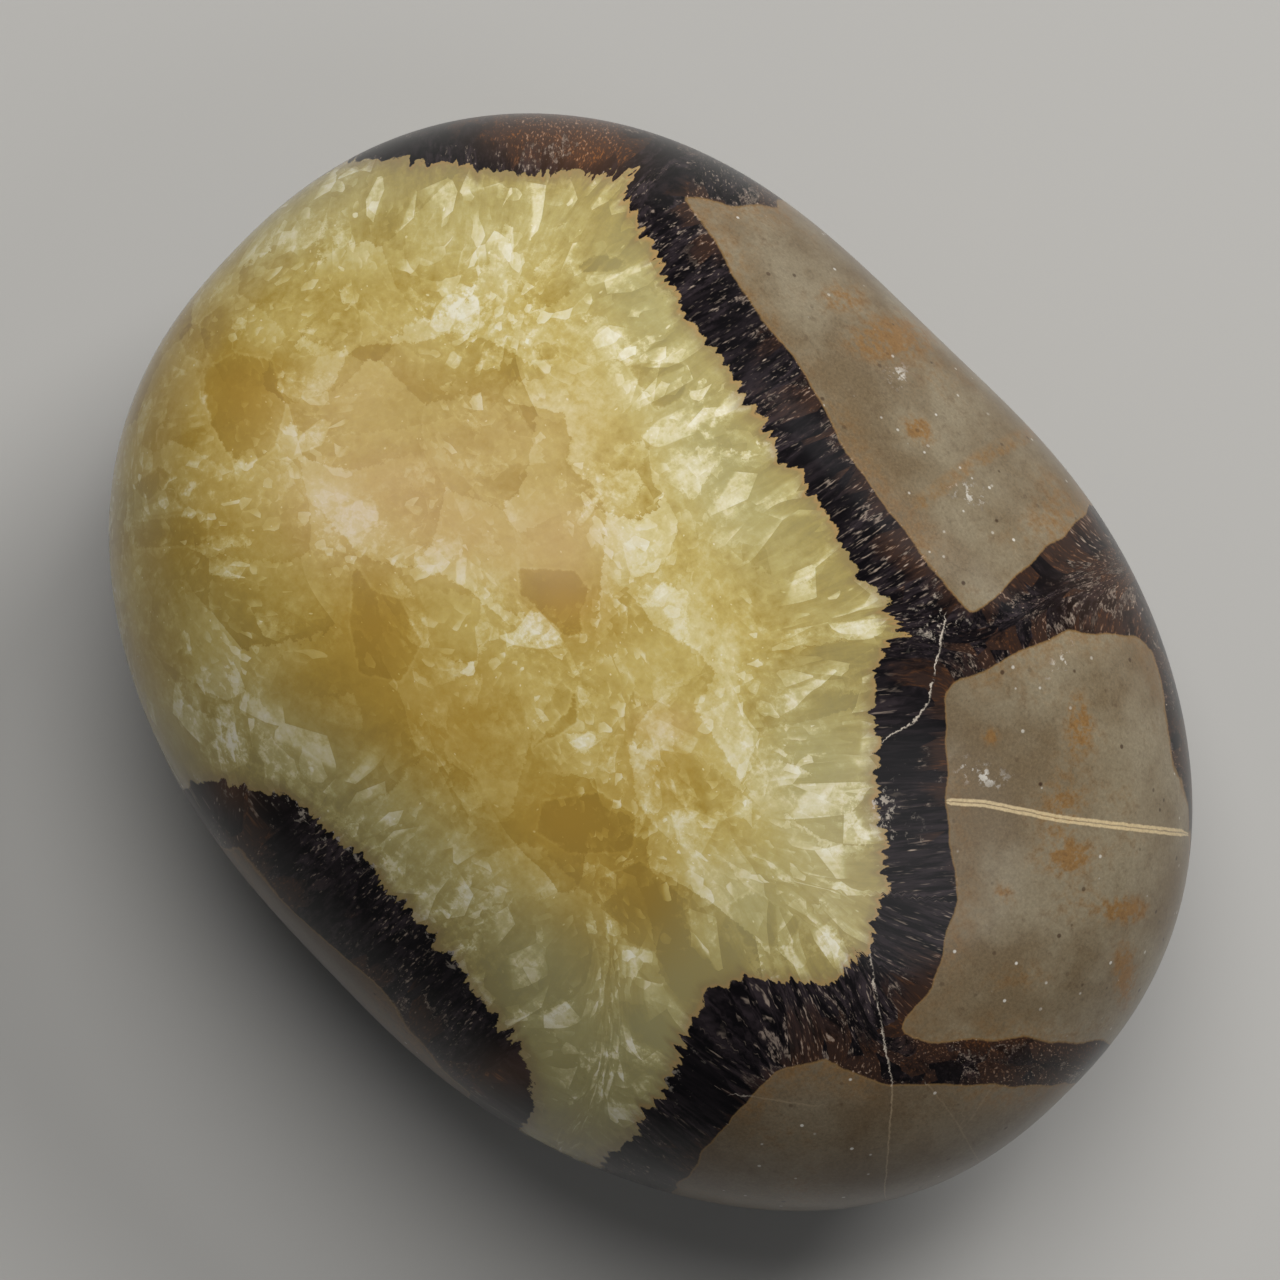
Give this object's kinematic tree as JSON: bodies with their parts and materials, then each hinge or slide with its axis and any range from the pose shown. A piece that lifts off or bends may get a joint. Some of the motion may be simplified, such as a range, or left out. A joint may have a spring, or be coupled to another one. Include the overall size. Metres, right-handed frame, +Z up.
{
  "type": "septarian nodule",
  "caption": "Septarian nodule ground and polished into a smooth oval palm stone, with a domed crown and a small flat spot underneath that it rests on.",
  "frame": {"origin": "on the plane of the flat spot that the stone rests on, under the middle of its outline", "axes": "+X along the stone's length, toward the end at the lower right of the picture; +Y across its width; +Z up out of the crown, toward the camera"},
  "size_m": [0.0756, 0.0562, 0.039],
  "materials": {
    "polished_stone": "polished"
  },
  "bodies": {
    "root": {"septarian_nodule": "polished_stone"}
  },
  "joints": []
}
